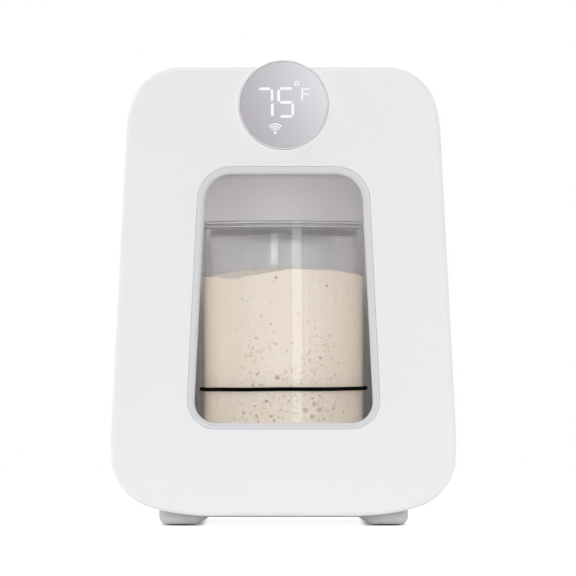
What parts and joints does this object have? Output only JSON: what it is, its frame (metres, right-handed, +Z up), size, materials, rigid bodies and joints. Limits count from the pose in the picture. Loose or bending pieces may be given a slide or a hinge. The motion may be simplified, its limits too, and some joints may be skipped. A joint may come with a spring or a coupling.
{
  "type": "sourdough starter warmer",
  "caption": "Countertop box that holds a jar of sourdough starter at a set temperature, with a windowed door and a round dial with digits.",
  "frame": {"origin": "centre of the bounding box on the surface it stands on", "axes": "+Z up, the door and dial face -Y, +X to the right as seen from the front"},
  "size_m": [0.2152, 0.205, 0.291],
  "materials": {
    "white_abs": "fine satin",
    "white_satin": "satin",
    "grey_trim": "satin",
    "grey_plastic": "matt",
    "black_plastic": "matt",
    "plinth_plastic": "matt",
    "clear_glass": "polished",
    "jar_glass": "polished",
    "aluminium_liner": "satin anodised",
    "aluminium": "milled",
    "foam": "closed-cell foam",
    "ceramic": "matt",
    "steel_screw": "zinc plated",
    "steel_pin": "ground",
    "spring_steel": "drawn",
    "magnet": "nickel plated",
    "gasket_rubber": "matt",
    "foot_rubber": "matt",
    "band_rubber": "matt",
    "seal_silicone": "satin",
    "lens": "satin film",
    "board": "solder mask",
    "dough": "moist"
  },
  "bodies": {
    "base": {"body_shell": "white_abs", "front_frame": "white_abs", "striker_plates": "steel_pin", "chamber_liner": "aluminium_liner", "temperature_sensor": "black_plastic", "insulation": "foam", "cold_block": "aluminium", "thermoelectric_module": "ceramic", "rear_bulkhead": "grey_plastic", "heat_sink": "aluminium", "clamp_screws": "steel_screw", "fan_frame": "black_plastic", "fan_stator": "black_plastic", "fan_screws": "steel_screw", "fan_spacers": "grey_plastic", "rear_cover": "white_abs", "cover_screws": "steel_screw", "power_inlet": "black_plastic", "main_board": "board", "base_plinth": "plinth_plastic", "rubber_feet": "foot_rubber", "plinth_screws": "steel_screw", "hinge_brackets": "grey_plastic", "hinge_pins": "steel_pin", "hinge_screws": "steel_screw"},
    "press": {"dial_carrier": "white_abs", "dial_lens": "lens", "display_board": "board", "digit_module": "black_plastic", "stem_screw": "steel_screw", "dial_spring": "spring_steel"},
    "ring": {"dial_ring": "white_satin"},
    "fan": {"fan_rotor": "black_plastic"},
    "jar": {"jar": "jar_glass", "starter": "dough", "level_band": "band_rubber"},
    "lid": {"jar_lid": "jar_glass", "lid_seal": "seal_silicone"},
    "door": {"door_shell": "white_satin", "door_liner": "white_abs", "door_screws": "steel_screw", "door_magnets": "magnet", "door_gasket": "gasket_rubber", "window_trim": "grey_trim", "outer_pane": "clear_glass", "inner_pane": "clear_glass", "hinge_arms": "grey_plastic", "dial_pod": "white_abs", "pod_cover": "white_abs", "press_switch": "black_plastic"}
  },
  "joints": [
    {"name": "door_hinge", "type": "hinge", "parent": "base", "child": "door", "pos_m": [-0.096, -0.066, 0.094], "axis": [0, 0, -1], "range_deg": [0, 95]},
    {"name": "dial_press", "type": "slide", "parent": "door", "child": "press", "axis": [0, 1, 0], "range_m": [0, 0.001], "stiffness_N_per_m": 800, "deforming": ["dial_spring"]},
    {"name": "dial_turn", "type": "hinge", "parent": "press", "child": "ring", "pos_m": [0, -0.09, 0.2632], "axis": [0, -1, 0], "continuous": true},
    {"name": "fan_spin", "type": "hinge", "parent": "base", "child": "fan", "pos_m": [0, 0.088, 0.1345], "axis": [0, 1, 0], "continuous": true},
    {"name": "jar_lift", "type": "slide", "parent": "base", "child": "jar", "axis": [0, 0, 1], "range_m": [0, 0.015]},
    {"name": "lid_lift", "type": "slide", "parent": "jar", "child": "lid", "axis": [0, 0, 1], "range_m": [0, 0.014]}
  ]
}
